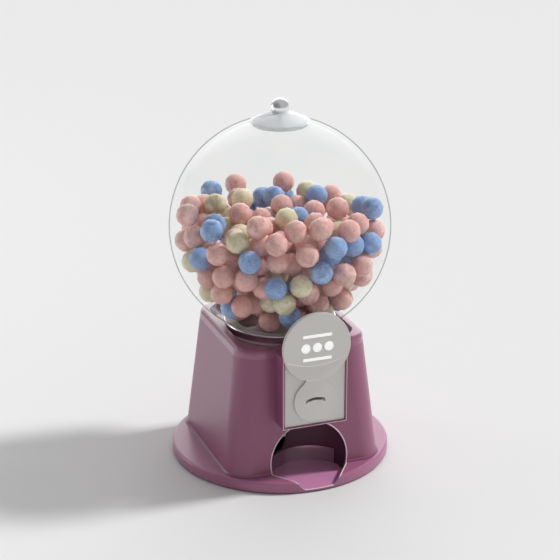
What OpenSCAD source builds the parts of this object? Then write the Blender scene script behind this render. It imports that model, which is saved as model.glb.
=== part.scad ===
// Counter-top capsule toy machine: a clear globe of capsules on a tapered base.
// Millimetres, +Z up, front face towards -Y, z = 0 at the surface it stands on.

/* [Base] */
// how far the round flange stands out past the tower's corners
flange_margin = 5.96; // [3:0.01:30]
// height of the flange's top face above the surface
flange_top_z = 13; // [12:0.5:17]
// radius of the round on the flange's upper edge
flange_edge_r = 3; // [1:0.5:5]
// thickness of the soft feet under the flange
foot_t = 1.6; // [1:0.1:3]
// radius of each soft foot
foot_r = 8; // [5:0.5:12]
// distance of each foot from the centre plane along X
foot_x = 68; // [60:1:74]
// distance of each foot from the centre plane along Y
foot_y = 51; // [45:1:64]
// thickness of the bottom plate
plate_t = 1.6; // [1.2:0.1:3]
// gap between the bottom plate and the shell
plate_gap = 0.3; // [0.2:0.1:1]
// radius of the bottom plate's screw shanks
screw_r = 1.9; // [1.5:0.1:2.5]
// radius of the bottom plate's screw heads
screw_head_r = 3.6; // [3:0.1:5]
// height of the bottom plate's screw heads
screw_head_t = 1; // [0.6:0.1:1.4]
// radius of the posts the bottom screws run into
post_r = 5; // [4:0.5:7]
// height of the posts above the bottom plate
post_h = 12; // [8:1:20]
// distance of the screw posts from the centre plane along X
post_x = 58; // [52:1:62]
// distance of the rear screw posts from the tower's back at the flange
post_back_in = 18; // [14:0.5:30]
// distance of the front screw posts from the tower's front at the flange
post_front_in = 16; // [14:0.5:20]
// depth of the screws in their posts
screw_grip = 10; // [6:0.5:11]

/* [Tower] */
// height of the tower's top face
tower_top_z = 154; // [150:1:190]
// how far each side of the tower leans out towards the flange
side_lean = 15.5; // [8:0.5:22]
// how far the front and the back lean out towards the flange
front_lean = 10; // [6:0.5:16]
// width of the tower's top face on each side of the well
deck_w = 8.8; // [6:0.1:16]
// width of the tower's top face ahead of the well and behind it
deck_d = 10; // [7:0.5:16]
// radius of the tower's upright corners
corner_r = 27; // [20:1:32]
// radius of the soft edge round the tower's top
top_edge_r = 5; // [2:0.5:8]
// wall thickness of the moulded shell
shell_t = 3.5; // [2.5:0.5:4.5]
// gap between the neck ring and the mouth of the sunken well on each side
well_gap_x = 2.2; // [1.8:0.1:5]
// gap between the neck ring and the mouth of the sunken well at front and back
well_gap_y = 8; // [3:0.5:12]
// how far the well's walls close in towards its floor, on each side
well_draft = 1.2; // [0.5:0.1:3]
// corner radius of the well
well_corner_r = 22; // [14:1:28]
// depth of the well's floor below the tower's top
well_depth = 7; // [5:0.5:9]

/* [Front boss] */
// half width of the boss on the tower's front
boss_hw = 36.2; // [34:0.2:40]
// height of the boss's lower edge above the arched mouth
boss_gap = 4; // [3.5:0.5:8]
// drop of the boss's upper edge below the tower's top
boss_drop = 2; // [1:0.5:5]
// width of the raised rim round the front panel
rim_w = 1.8; // [1.2:0.1:3]
// depth of the recess that holds the front panel
recess_d = 3.4; // [2.6:0.1:5]
// thickness of the front panel
panel_t = 2; // [1.4:0.1:2.4]
// width of the ledge behind the front panel
ledge_w = 2; // [1.5:0.1:4]
// side gap round the front panel
panel_gap = 0.2; // [0.1:0.05:0.5]

/* [Sign] */
// radius of the round sign plate
sign_r = 38.2; // [34:0.2:42]
// height of the sign plate's centre above the key's axis
sign_rise = 62.5; // [62:0.5:68]
// gap between the back of the sign plate and the globe, at the plate's top
sign_gap = 4.06; // [3.6:0.01:8]
// thickness of the round sign plate
sign_t = 2.2; // [1.5:0.1:3]
// radius of the arc that ends the raised part of the sign
sign_arc_r = 80; // [60:1:110]
// drop of that arc's lowest point below the sign plate's centre
sign_arc_drop = 20.9; // [12:0.1:26]
// thickness of the raised part of the sign
badge_t = 1.4; // [0.8:0.1:2.4]
// margin between the raised part's edge and the sign plate's edge
badge_margin = 0.5; // [0.2:0.1:2]
// thickness of the printed motif
motif_t = 0.3; // [0.2:0.05:0.6]
// radius of each disc of the motif
motif_disc_r = 5; // [3:0.1:6]
// distance between the discs of the motif
motif_step = 13; // [11:0.5:16]
// half length of the motif's bars
motif_bar_hw = 16; // [10:0.5:22]
// thickness of the motif's bars
motif_bar_w = 3; // [1.5:0.1:4]
// distance of the motif's bars from the middle of the sign
motif_bar_off = 13; // [9:0.5:16]
// half width of the sign's bracket
bracket_hw = 18; // [12:1:24]
// height of the sign's bracket
bracket_h = 24; // [16:1:27]
// thickness of the upright bracket behind the sign
bracket_t = 2.4; // [1.6:0.1:3]
// length of the bracket's foot on top of the boss
bracket_foot = 14; // [8:1:16]
// radius of the sign's two rivets
rivet_r = 2; // [1.5:0.1:3]
// radius of the rivets' closed heads behind the bracket
rivet_head_r = 3.2; // [2.4:0.1:4]
// thickness of the rivets' heads
rivet_head_t = 0.8; // [0.5:0.1:1.2]
// distance of each rivet from the centre plane
rivet_x = 11; // [7:0.5:14]

/* [Turn key] */
// radius of the key's round part
key_r = 24; // [20:0.1:26]
// half width of the key's neck
key_neck_hw = 9.7; // [7:0.1:11]
// length of the neck's tip from the key's axis
key_neck_len = 29.5; // [27:0.1:30]
// radius of the hollow curve between the round part and the neck
key_fillet_r = 14; // [10:0.5:18]
// thickness of the key's plate
key_t = 2; // [1.4:0.1:2.4]
// free gap on each side of the key's plate
key_gap = 0.4; // [0.3:0.05:0.7]
// how far the key's round part covers the edge of the coin carrier behind it
carrier_inset = 2; // [1.4:0.1:3]
// depth of the coin carrier
carrier_d = 20; // [16:0.5:21]
// running gap between the carrier and the front panel
carrier_gap = 0.4; // [0.3:0.05:1]
// clearance of a coin in the carrier's pocket, on each side
coin_gap = 0.5; // [0.3:0.1:1]
// thickness of the carrier's rear wall
carrier_wall = 6; // [4:0.5:8]
// outer radius of the crescent coin slot
slot_arc_r = 26; // [20:0.5:40]
// height of the crescent's width
slot_w = 3.2; // [2.4:0.1:4]
// half length of the coin slot
slot_hl = 11; // [9:0.5:12.5]
// height of the crescent's crown above the key's axis
slot_rise = 3.7; // [3:0.1:6]
// radius of the spindle
spindle_r = 4; // [3:0.1:5]
// running clearance of the spindle in its bearing
spindle_gap = 0.06; // [0.02:0.01:0.1]
// radius of the spindle's bearing boss
bearing_r = 8; // [6.5:0.5:9]
// thickness of the spindle's bearing bracket
bearing_t = 4; // [3:0.5:6]
// distance of the bearing bracket ahead of the centre
bearing_y = 42; // [38:0.5:46]
// outer radius of the return spring
spring_r = 8; // [7:0.1:9]
// wire radius of the return spring
spring_wire_r = 0.9; // [0.6:0.1:1.2]
// number of turns of the return spring
spring_turns = 6; // [3:1:8]
// radius of the stop collar on the spindle
collar_r = 7; // [6:0.5:8]
// thickness of the stop collar
collar_t = 2.5; // [2:0.1:4]
// end play of the stop collar beside the bearing
collar_gap = 0.4; // [0.3:0.05:0.8]
// gap between the return spring and the bearing
spring_gap = 1.5; // [1:0.1:3]
// gap between the turns of the return spring
turn_gap = 0.3; // [0.1:0.05:0.6]

/* [Feed wheel] */
// depth of the hopper floor below the well's floor
pan_depth = 23; // [21:0.1:25]
// thickness of the hopper floor
floor_t = 3; // [2.4:0.1:3.2]
// wall thickness of the hopper pan
pan_t = 2.3; // [1.8:0.1:2.4]
// thickness of the hopper pan's seating flange
pan_flange_t = 2.3; // [1.6:0.1:3]
// gap between the wheel's rim and the pan
wheel_gap = 0.6; // [0.4:0.05:1.2]
// gap between the wheel's underside and the hopper floor
wheel_lift = 0.4; // [0.3:0.05:0.6]
// thickness of the feed wheel
wheel_t = 17.4; // [14:0.2:20]
// number of pockets in the feed wheel
pocket_count = 6; // [5:1:6]
// free gap round a capsule in its pocket
pocket_gap = 1.2; // [0.8:0.1:1.5]
// least width of the web between two pockets
pocket_web = 12.6; // [10:0.1:16]
// width of the wheel's edge outside each pocket
wheel_edge = 2.7; // [1.5:0.1:4]
// radius of the wheel's hub where it runs in the floor
hub_r = 8; // [6:0.1:10]
// running clearance of the hub in the floor
hub_gap = 0.06; // [0.02:0.01:0.1]
// radius of the bolt down the wheel's axis
bolt_r = 2.5; // [2:0.1:3]
// radius of the stirring cone's foot
cone_r = 13; // [9:0.5:16]
// height of the stirring cone
cone_h = 10; // [6:0.5:12]
// thickness of the crown gear's disc
crown_t = 3; // [2:0.1:3.2]
// free gap between the crown gear and the hopper floor
crown_gap = 0.7; // [0.4:0.1:1]
// pitch radius of the crown gear's pins
crown_pitch_r = 21; // [20.9:0.1:21.1]
// width of the crown gear's disc outside its pins
crown_edge = 1.4; // [1:0.1:2]
// free gap between the crown gear and the drop chute
crown_clear = 1; // [0.8:0.1:2]
// number of pins on the crown gear
crown_pins = 18; // [18:1:18]
// number of pegs on the pinion
pinion_pegs = 12; // [12:1:12]
// radius of the gear pins and pegs
peg_r = 1; // [0.8:0.05:1.1]
// length of the crown gear's pins below its disc
crown_pin_len = 5.8; // [5:0.1:6]
// distance of the peg tips from the spindle's axis
pinion_tip_r = 16.5; // [16:0.1:17]
// free gap between the peg tips and the crown gear's disc
peg_clear = 0.4; // [0.3:0.05:0.6]
// radius of the pinion's hub
pinion_hub_r = 7; // [6:0.5:8]
// length of the pinion's hub
pinion_hub_w = 8; // [6:0.5:9]
// length of the spindle behind the pinion's hub
spindle_tail = 2; // [1:0.5:4]
// height of the bolt's head under the crown gear
bolt_head_t = 3; // [2:0.5:4]
// depth of the bolt's end below the cone's tip
bolt_end_gap = 1; // [0.5:0.1:3]

/* [Capsule path] */
// how much wider the drop chute's bore is than a pocket
chute_ease = 0.3; // [0.1:0.1:0.6]
// wall thickness of the drop chute
chute_t = 1.3; // [1:0.1:1.4]
// side position of the chute's lower end, left of the centre plane
chute_out_x = 22; // [21:0.5:24]
// distance of the chute's lower end ahead of the tray's rounded back
chute_out_in = 15.5; // [13.5:0.5:17.5]
// height of the chute's upright stretch below the hopper
chute_drop = 15; // [11:0.5:17]
// height of the chute's lower end above the centre of the arched mouth
chute_end = 12; // [8:0.5:16]
// radius of the arched mouth
mouth_r = 44; // [40:0.5:44.5]
// height of the arched mouth's centre
mouth_z = 23; // [20:0.5:23.4]
// radius of the tray's rounded back
drum_r = 45.5; // [44:0.5:47]
// distance of the rounded back's centre ahead of the tower's front at the flange
drum_out = 6; // [2:0.5:8]
// wall thickness of the tray's lining
liner_t = 1.6; // [1.2:0.1:2]
// radius of the spout cut at its outer end
spout_r = 22; // [18:0.5:28]
// length of the tapering spout cut
spout_len = 33; // [32:0.5:40]
// distance of the spout's wide end ahead of the tower's front at the flange
spout_out = 2; // [1:0.5:3]
// thickness of the tray's floor sheet
tray_t = 0.8; // [0.5:0.1:1.2]
// gap round the tray's floor sheet
tray_gap = 0.2; // [0.1:0.05:0.4]
// height of the metal band round the back of the tray
band_h = 17.6; // [12:0.2:22]
// thickness of the metal band
band_t = 1.2; // [0.8:0.1:1.8]
// gap between each end of the metal band and the side of the tray
band_end_gap = 2.13; // [1.5:0.01:6]

/* [Coin path] */
// height of the coin slide's upper end above the boss's lower edge
slide_rise = 10; // [9:0.5:13]
// fall of the coin slide
slide_fall = 31; // [27:0.5:33]
// side position of the coin slide's upper end, left of the centre plane
slide_start_x = 5; // [3:0.5:8]
// side position of the coin slide's lower end, right of the centre plane
slide_end_x = 57; // [54:0.5:60]
// gap between the coin slide and the tower's front wall, or the carrier where that reaches further in
slide_gap = 1.5; // [1:0.1:3]
// thickness of the coin slide
slide_t = 1.2; // [0.8:0.1:1.6]
// width of the coin slide
slide_w = 20; // [16:0.5:22]
// width of the coin box
coin_box_w = 26; // [20:1:28]
// length of the coin box
coin_box_l = 46; // [40:1:60]
// height of the coin box
coin_box_h = 36; // [20:1:38]
// wall thickness of the coin box
coin_box_t = 1.6; // [1.2:0.1:2.4]
// how far the coin box reaches in under the slide's lower end
coin_box_catch = 6; // [3:0.5:8]
// gap between the coin box and the screw post ahead of it
coin_box_gap = 1; // [0.5:0.1:3]

/* [Globe] */
// outer radius of the globe
globe_r = 120; // [105:0.5:144]
// wall thickness of the globe
globe_t = 3.5; // [2:0.1:5]
// height of the globe's open lower edge above the tower's top
globe_lift = 2; // [1:0.5:4]
// gap between the globe's lower edge and the rim of the seal under it
neck_gap = 2.94; // [2:0.01:4]
// radius of the filling hole at the top
fill_r = 29.6; // [27:0.1:31]
// thickness of the guard's clamped ring
guard_t = 1.6; // [1:0.1:2]
// inner radius of the guard over the drop hole
guard_in_r = 26; // [22:0.5:30]
// half angle of the guard over the drop hole
guard_half_angle = 24; // [21:1:28]
// how much wider the seal's hole is than the globe's
gasket_lip = 0.5; // [0.2:0.1:2]
// gap between the seal and the neck ring
gasket_gap = 0.8; // [0.3:0.1:1.5]
// how far the neck ring stands outside the hopper pan
ring_over = 2.7; // [1:0.1:4]
// wall thickness of the bright neck ring
ring_t = 2.2; // [1.4:0.1:2.4]
// how far the bright neck ring stands above the globe's lower edge
ring_lip = 1.5; // [0.5:0.1:2]

/* [Lid] */
// how far the lid's rim reaches past the filling hole
lid_over = 2.8; // [2:0.1:6]
// thickness of the lid's rim
lid_rim_t = 1.2; // [0.8:0.1:2]
// free gap between the lid and the globe
lid_gap = 0.3; // [0.3:0.05:0.6]
// height of the lid's dome above its rim
dome_h = 9.5; // [8:0.1:11]
// radius of the flat on the dome's crown
crown_flat_r = 9; // [8:0.1:9.2]
// radius of the knob ball
ball_r = 10; // [8:0.1:13]
// radius of the lid's stud
stud_r = 2.5; // [2:0.1:3]
// width of the lid's seal
seal_w = 2.8; // [2:0.1:5]
// thickness of the clamp plate
clamp_t = 2; // [1.2:0.1:3]
// depth of the lid's seal
seal_d = 4; // [3:0.1:6]
// gap between the lid's seal and the globe's filling hole
seal_gap = 0.4; // [0.3:0.05:1]
// width of the lid's lower nut across its corners
nut_w = 10; // [8:0.5:12]
// height of the lid's lower nut
nut_h = 4; // [3:0.5:5]
// length of the stud below its nut
stud_tail = 1; // [0.5:0.1:3]

/* [Capsules] */
// diameter of one capsule
capsule_d = 25; // [22:0.1:30]
// number of capsules in the globe
capsule_count = 200; // [120:1:210]
// least gap left between neighbouring capsules
capsule_gap = 0.3; // [0.1:0.1:0.8]
// number of places tried for each capsule
tries = 20; // [12:1:30]
// share of the capsules that are blue, in hundredths
blue_share = 21; // [5:1:40]
// share of the capsules that are cream, in hundredths
cream_share = 20; // [5:1:40]
// seed of the heap
heap_seed = 7; // [1:1:99]

/* [Hidden] */
$fn = 96;
eps = 0.01;
// how far a cutting shape passes the face it cuts
over = 1;
hull_fn = 48;

// feed wheel, pan and neck, from the capsule outwards
capsule_r = capsule_d / 2;
pocket_r = capsule_r + pocket_gap;
chute_r = pocket_r + chute_ease;
crown_r = crown_pitch_r + peg_r + crown_edge;
pocket_off = max((pocket_r + pocket_web / 2) / sin(180 / pocket_count),
    crown_r + crown_clear + chute_t + chute_r);
wheel_r = pocket_off + pocket_r + wheel_edge;
pan_r = wheel_r + wheel_gap;
pan_out_r = pan_r + pan_t;
ring_r = pan_out_r + ring_over;
gasket_out_r = ring_r - ring_t - gasket_gap;
neck_r = gasket_out_r - neck_gap;
globe_in_r = globe_r - globe_t;
globe_rise = sqrt(globe_r * globe_r - neck_r * neck_r);
gasket_in_r = sqrt(globe_in_r * globe_in_r - globe_rise * globe_rise) + gasket_lip;

// tower and flange, from the neck outwards
well_hw = ring_r + well_gap_x;
well_hd = ring_r + well_gap_y;
tower_top_hw = well_hw + deck_w;
tower_top_hd = well_hd + deck_d;
tower_base_hw = tower_top_hw + side_lean;
tower_base_hd = tower_top_hd + front_lean;
corner_x = tower_base_hw - corner_r;
corner_y = tower_base_hd - corner_r;
flange_r = sqrt(corner_x * corner_x + corner_y * corner_y) + corner_r + flange_margin;
post_back_y = tower_base_hd - post_back_in;
post_front_y = tower_base_hd - post_front_in;

// heights, from the tower's top downwards and upwards
plate_top_z = foot_t + plate_t;
well_floor_z = tower_top_z - well_depth;
crown_cut_z = well_floor_z - shell_t;
floor_z = well_floor_z - pan_depth;
floor_low_z = floor_z - floor_t;
pan_top_z = well_floor_z + pan_flange_t;
guard_top_z = pan_top_z + guard_t;
wheel_low_z = floor_z + wheel_lift;
wheel_top_z = wheel_low_z + wheel_t;
crown_top_z = floor_low_z - crown_gap;
crown_low_z = crown_top_z - crown_t;
key_z = crown_low_z - peg_clear - pinion_tip_r;
boss_low_z = mouth_z + mouth_r + boss_gap;
boss_high_z = tower_top_z - boss_drop;
sign_z = key_z + sign_rise;
sign_arc_z = sign_z - sign_arc_drop;
sign_top_z = sign_z + sign_r;
globe_cut_z = tower_top_z + globe_lift;
globe_z = globe_cut_z + globe_rise;
fill_z = globe_z + sqrt(globe_r * globe_r - fill_r * fill_r);
slide_high_z = boss_low_z + slide_rise;
slide_low_z = slide_high_z - slide_fall;
chute_bend_z = floor_low_z - chute_drop;

// depths, from the sign's gap to the globe backwards
globe_reach = sqrt(globe_r * globe_r - (globe_z - sign_top_z) * (globe_z - sign_top_z));
sign_back_y = globe_reach + sign_gap;
sign_front_y = sign_back_y + sign_t;
badge_front_y = sign_front_y + badge_t;
key_front_y = sign_back_y - key_gap;
key_back_y = key_front_y - key_t;
panel_front_y = key_back_y - key_gap;
panel_back_y = panel_front_y - panel_t;
boss_y = panel_back_y + recess_d;
carrier_back_y = key_back_y - carrier_d;
carrier_r = key_r - carrier_inset;
slide_front_y = min(side_hd(slide_high_z) - shell_t, carrier_back_y) - slide_gap;
spindle_end_y = crown_pitch_r - pinion_hub_w / 2 - spindle_tail;
drum_y = tower_base_hd + drum_out;
spout_y = tower_base_hd + spout_out;
chute_out_y = drum_y - drum_r + chute_out_in;
band_low_z = plate_top_z + tray_t;
band_r = drum_r - tray_gap;
tray_hw = sqrt(mouth_r * mouth_r - (mouth_z - band_low_z) * (mouth_z - band_low_z));
band_half_angle = asin((tray_hw - band_end_gap) / band_r);
coin_box_x = slide_end_x - coin_box_catch;
coin_box_y = post_front_y - post_r - coin_box_gap;

// front panel and its frame
recess_hw = boss_hw - rim_w;
recess_low_z = boss_low_z + rim_w;
recess_high_z = boss_high_z - rim_w;
panel_hw = recess_hw - panel_gap;
panel_low_z = recess_low_z + panel_gap;
panel_high_z = recess_high_z - panel_gap;

// angles
pocket_step = 360 / pocket_count;
pin_step = 360 / crown_pins;
peg_step = 360 / pinion_pegs;
drop_angle = -150;
drop_x = pocket_off * cos(drop_angle);
drop_y = pocket_off * sin(drop_angle);

// lid
lid_r = fill_r + lid_over;
seal_r = fill_r - seal_gap;
clamp_r = seal_r - seal_w;
lid_low_z = fill_z + lid_gap;
lid_rim_z = lid_low_z + lid_rim_t;
crown_flat_z = lid_rim_z + dome_h;
ball_z = crown_flat_z + sqrt(ball_r * ball_r - crown_flat_r * crown_flat_r);
stud_low_z = lid_low_z - clamp_t - nut_h - stud_tail;

// heap
heap_r = globe_in_r - capsule_r - capsule_gap;
heap_floor_z = max(guard_top_z, wheel_top_z + cone_h) + capsule_r + capsule_gap;

// half width of the tower at a height, along its straight side
function side_hw(z) = tower_base_hw
    + (tower_top_hw - tower_base_hw) * (z - flange_top_z) / (tower_top_z - flange_top_z);
// half depth of the tower at a height, along its straight front
function side_hd(z) = tower_base_hd
    + (tower_top_hd - tower_base_hd) * (z - flange_top_z) / (tower_top_z - flange_top_z);

// lowest free centre height above one spot, resting on the wall or on placed capsules
function wall_z(p) = max(heap_floor_z, globe_z - sqrt(heap_r * heap_r - p[0] * p[0] - p[1] * p[1]));
function reach() = capsule_d + capsule_gap;
function near2(p, q) = (p[0] - q[0]) * (p[0] - q[0]) + (p[1] - q[1]) * (p[1] - q[1]);
function rest_z(p, placed) = max([wall_z(p),
    for (q = placed) if (near2(p, q) < reach() * reach())
        q[2] + sqrt(reach() * reach() - near2(p, q))]);
// added height for a place that would lie through the globe's upper wall
function outside(p, z) = p[0] * p[0] + p[1] * p[1] + (z - globe_z) * (z - globe_z) > heap_r * heap_r + 1
    && z > globe_z ? globe_r : 0;
function placed_at(p, z) = [p[0], p[1], z + outside(p, z)];
// spots tried for capsule number i, spread evenly over the globe's circle
function spot(a, b) = [(heap_r - 1) * sqrt(a) * cos(360 * b), (heap_r - 1) * sqrt(a) * sin(360 * b)];
function spots(i) = let (u = rands(0, 1, 2 * tries, heap_seed * 1000 + i))
    [for (k = [0 : tries - 1]) spot(u[2 * k], u[2 * k + 1])];
function lifted(i, placed) = [for (p = spots(i)) placed_at(p, rest_z(p, placed))];
function lowest(c) = let (m = min([for (p = c) p[2]])) [for (p = c) if (p[2] == m) p][0];
function heap(i, placed) = i >= capsule_count ? placed
    : heap(i + 1, concat(placed, [lowest(lifted(i, placed))]));
// colour class of capsule number i: 0 pink, 1 blue, 2 cream
function colour_of(i) = let (u = rands(0, 100, 1, heap_seed * 77 + i * 13)[0])
    u < blue_share ? 1 : u < blue_share + cream_share ? 2 : 0;

// rounded rectangle standing upright, lofted between two sizes
module loft_box(z0, hw0, hd0, z1, hw1, hd1, r) {
    hull() {
        for (sx = [-1, 1], sy = [-1, 1]) {
            translate([sx * (hw0 - r), sy * (hd0 - r), z0]) cylinder(h = eps, r = r, $fn = hull_fn);
            translate([sx * (hw1 - r), sy * (hd1 - r), z1 - eps]) cylinder(h = eps, r = r, $fn = hull_fn);
        }
    }
}

// tower's outside with its soft upper edge
module tower_solid() {
    soft_z = tower_top_z - top_edge_r;
    hull() {
        for (sx = [-1, 1], sy = [-1, 1]) {
            translate([sx * (tower_base_hw - corner_r), sy * (tower_base_hd - corner_r), flange_top_z - 1])
                cylinder(h = 1, r = corner_r, $fn = hull_fn);
            translate([sx * (side_hw(soft_z) - corner_r), sy * (side_hd(soft_z) - corner_r), soft_z])
                for (a = [0 : 22.5 : 90]) translate([0, 0, top_edge_r * sin(a) - eps])
                    cylinder(h = eps, r = corner_r - top_edge_r * (1 - cos(a)), $fn = hull_fn);
        }
    }
}

// hollow inside of the tower, from the bottom opening up to the well's floor
module tower_hollow(gap) {
    z1 = crown_cut_z - gap;
    loft_box(foot_t - gap, side_hw(foot_t) - shell_t - gap, side_hd(foot_t) - shell_t - gap,
        z1, side_hw(z1) - shell_t - gap, side_hd(z1) - shell_t - gap, corner_r - shell_t);
}

// block right across the machine between two heights
module layer(low, high) {
    translate([-flange_r, -flange_r, low]) cube([2 * flange_r, 2 * flange_r, high - low]);
}

// cylinder lying along Y, its front end ahead of the centre by y_front
module lying(r, y_front, y_back, x, z) {
    translate([x, -y_front, z]) rotate([-90, 0, 0]) cylinder(h = y_front - y_back, r = r);
}

// arched space of the tray, grown by a wall thickness
module niche(grow, y_front) {
    intersection() {
        lying(mouth_r + grow, y_front, drum_y - drum_r - grow, 0, mouth_z);
        union() {
            translate([0, -drum_y, 0]) cylinder(h = 2 * mouth_r + mouth_z, r = drum_r + grow);
            translate([-mouth_r - grow, -flange_r, 0])
                cube([2 * (mouth_r + grow), flange_r - drum_y, 2 * mouth_r + mouth_z]);
        }
        layer(plate_top_z, plate_top_z + 2 * mouth_r);
    }
}

// mouth cut through the front wall, above the flange
module mouth_cut() {
    intersection() {
        lying(mouth_r, boss_y + over, spout_y - spout_out, 0, mouth_z);
        layer(flange_top_z, flange_top_z + 2 * mouth_r);
    }
}

// tapering spout cut through the flange, above the floor
module spout(shrink) {
    intersection() {
        translate([0, -spout_y, mouth_z]) rotate([90, 0, 0])
            cylinder(h = spout_len, r1 = mouth_r - shrink, r2 = spout_r - shrink);
        layer(plate_top_z, plate_top_z + 2 * mouth_r);
    }
}

module posts(r, z0, h) {
    for (sx = [-1, 1]) {
        translate([sx * post_x, post_back_y, z0]) cylinder(h = h, r = r);
        translate([sx * post_x, -post_front_y, z0]) cylinder(h = h, r = r);
    }
}

module boss_box(side, low, high, y_front, y_back) {
    translate([-side, -y_front, low]) cube([2 * side, y_front - y_back, high - low]);
}

module flange_ring() {
    inner = flange_r - flange_edge_r;
    color([0.49, 0.33, 0.41])
    difference() {
        rotate_extrude() {
            translate([0, foot_t]) square([inner, flange_top_z - foot_t]);
            translate([0, foot_t]) square([flange_r, flange_top_z - foot_t - flange_edge_r]);
            translate([inner, flange_top_z - flange_edge_r]) circle(r = flange_edge_r);
        }
        tower_hollow(0);
        niche(0, spout_y);
        spout(0);
    }
}

// four leaning walls, open at the bottom, with the mouth and the boss's window in the front one
module tower_walls() {
    color([0.49, 0.33, 0.41])
    difference() {
        intersection() {
            tower_solid();
            layer(flange_top_z, crown_cut_z);
        }
        tower_hollow(0);
        boss_window();
        niche(0, spout_y);
        mouth_cut();
        spout(0);
    }
}

// soft-edged top of the tower, with the sunken well and the hole that the hopper hangs in
module tower_crown() {
    color([0.49, 0.33, 0.41])
    difference() {
        intersection() {
            tower_solid();
            layer(crown_cut_z, tower_top_z + over);
        }
        loft_box(well_floor_z, well_hw - well_draft, well_hd - well_draft,
            tower_top_z + over, well_hw, well_hd, well_corner_r);
        translate([0, 0, crown_cut_z - over]) cylinder(h = shell_t + 2 * over, r = pan_out_r);
    }
}

// passage for the key's works from the boss through the tower's front wall
module boss_window() {
    boss_box(recess_hw - ledge_w, recess_low_z + ledge_w, crown_cut_z - ledge_w,
        boss_y, side_hd(boss_high_z) - shell_t - over);
}

// boss that frames the front panel
module front_boss() {
    color([0.49, 0.33, 0.41])
    difference() {
        boss_box(boss_hw, boss_low_z, boss_high_z, boss_y, tower_top_hd - corner_r / 2);
        tower_solid();
        boss_box(recess_hw, recess_low_z, recess_high_z, boss_y + over, panel_back_y);
        boss_window();
    }
}

// posts for the bottom plate's screws, each with a rib to the wall
module screw_posts() {
    color([0.49, 0.33, 0.41])
    difference() {
        union() {
            posts(post_r, plate_top_z, post_h);
            intersection() {
                for (sx = [-1, 1]) {
                    translate([sx * post_x - shell_t / 2, post_back_y, plate_top_z])
                        cube([shell_t, post_back_in, post_h]);
                    translate([sx * post_x - shell_t / 2, -post_front_y - post_front_in, plate_top_z])
                        cube([shell_t, post_front_in, post_h]);
                }
                tower_hollow(0);
            }
        }
        posts(screw_r, plate_top_z - over, post_h + 2 * over);
    }
}

module base_plate() {
    color([0.3, 0.3, 0.31])
    difference() {
        intersection() {
            tower_hollow(plate_gap);
            layer(foot_t, plate_top_z);
        }
        posts(screw_r, foot_t - over, plate_t + 2 * over);
    }
}

module rubber_feet() {
    color([0.12, 0.12, 0.12])
    for (sx = [-1, 1], sy = [-1, 1]) {
        translate([sx * foot_x, sy * foot_y, 0]) cylinder(h = foot_t, r = foot_r);
    }
}

module base_screws() {
    color([0.7, 0.7, 0.72])
    union() {
        posts(screw_r, foot_t - eps, plate_t + screw_grip);
        posts(screw_head_r, foot_t - screw_head_t, screw_head_t);
    }
}

module front_panel() {
    color([0.64, 0.63, 0.61])
    difference() {
        boss_box(panel_hw, panel_low_z, panel_high_z, panel_front_y, panel_back_y);
        lying(carrier_r + carrier_gap, boss_y, panel_back_y - over, 0, key_z);
    }
}

// pair of shanks or heads on the rivets' axes
module rivets(r, y_front, y_back) {
    for (sx = [-1, 1]) lying(r, y_front, y_back, sx * rivet_x, sign_z);
}

module sign_bracket() {
    color([0.62, 0.62, 0.62])
    difference() {
        union() {
            boss_box(bracket_hw, boss_high_z, boss_high_z + bracket_h, sign_back_y, sign_back_y - bracket_t);
            boss_box(bracket_hw, boss_high_z, boss_high_z + bracket_t, sign_back_y, sign_back_y - bracket_foot);
        }
        rivets(rivet_r, sign_back_y + over, sign_back_y - bracket_t - over);
    }
}

module sign_disc() {
    color([0.65, 0.64, 0.62])
    difference() {
        lying(sign_r, sign_front_y, sign_back_y, 0, sign_z);
        rivets(rivet_r, sign_front_y + over, sign_back_y - over);
    }
}

module sign_badge() {
    color([0.65, 0.64, 0.62])
    intersection() {
        lying(sign_r - badge_margin, badge_front_y, sign_front_y, 0, sign_z);
        lying(sign_arc_r, badge_front_y, sign_front_y, 0, sign_arc_z + sign_arc_r);
    }
}

// plain print on the sign: three discs in a row between two bars
module sign_motif() {
    print_y = badge_front_y + motif_t;
    color([0.95, 0.95, 0.94])
    union() {
        for (k = [-1, 0, 1]) lying(motif_disc_r, print_y, badge_front_y, k * motif_step, sign_z);
        for (side = [-1, 1])
            boss_box(motif_bar_hw, sign_z + side * motif_bar_off - motif_bar_w / 2,
                sign_z + side * motif_bar_off + motif_bar_w / 2, print_y, badge_front_y);
    }
}

module sign_rivets() {
    head_y = sign_back_y - bracket_t;
    color([0.7, 0.7, 0.7])
    union() {
        rivets(rivet_r, sign_front_y, head_y);
        rivets(rivet_head_r, head_y, head_y - rivet_head_t);
    }
}

module hopper_pan() {
    color([0.6, 0.6, 0.6])
    difference() {
        union() {
            translate([0, 0, floor_low_z]) cylinder(h = well_floor_z - floor_low_z, r = pan_out_r);
            translate([0, 0, well_floor_z]) cylinder(h = pan_flange_t, r = ring_r);
        }
        translate([0, 0, floor_z]) cylinder(h = pan_top_z - floor_z + over, r = pan_r);
        translate([0, 0, floor_low_z - over]) cylinder(h = floor_t + 2 * over, r = hub_r + hub_gap);
        translate([drop_x, drop_y, floor_low_z - over]) cylinder(h = floor_t + 2 * over, r = chute_r);
    }
}

module drop_guard() {
    color([0.66, 0.66, 0.66])
    difference() {
        translate([0, 0, pan_top_z]) cylinder(h = guard_t, r = gasket_out_r);
        translate([0, 0, pan_top_z - over]) intersection() {
            cylinder(h = guard_t + 2 * over, r = gasket_in_r);
            union() {
                cylinder(h = guard_t + 2 * over, r = guard_in_r);
                rotate([0, 0, drop_angle + guard_half_angle])
                    rotate_extrude(angle = 360 - 2 * guard_half_angle) square([pan_r, guard_t + 2 * over]);
            }
        }
    }
}

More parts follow.
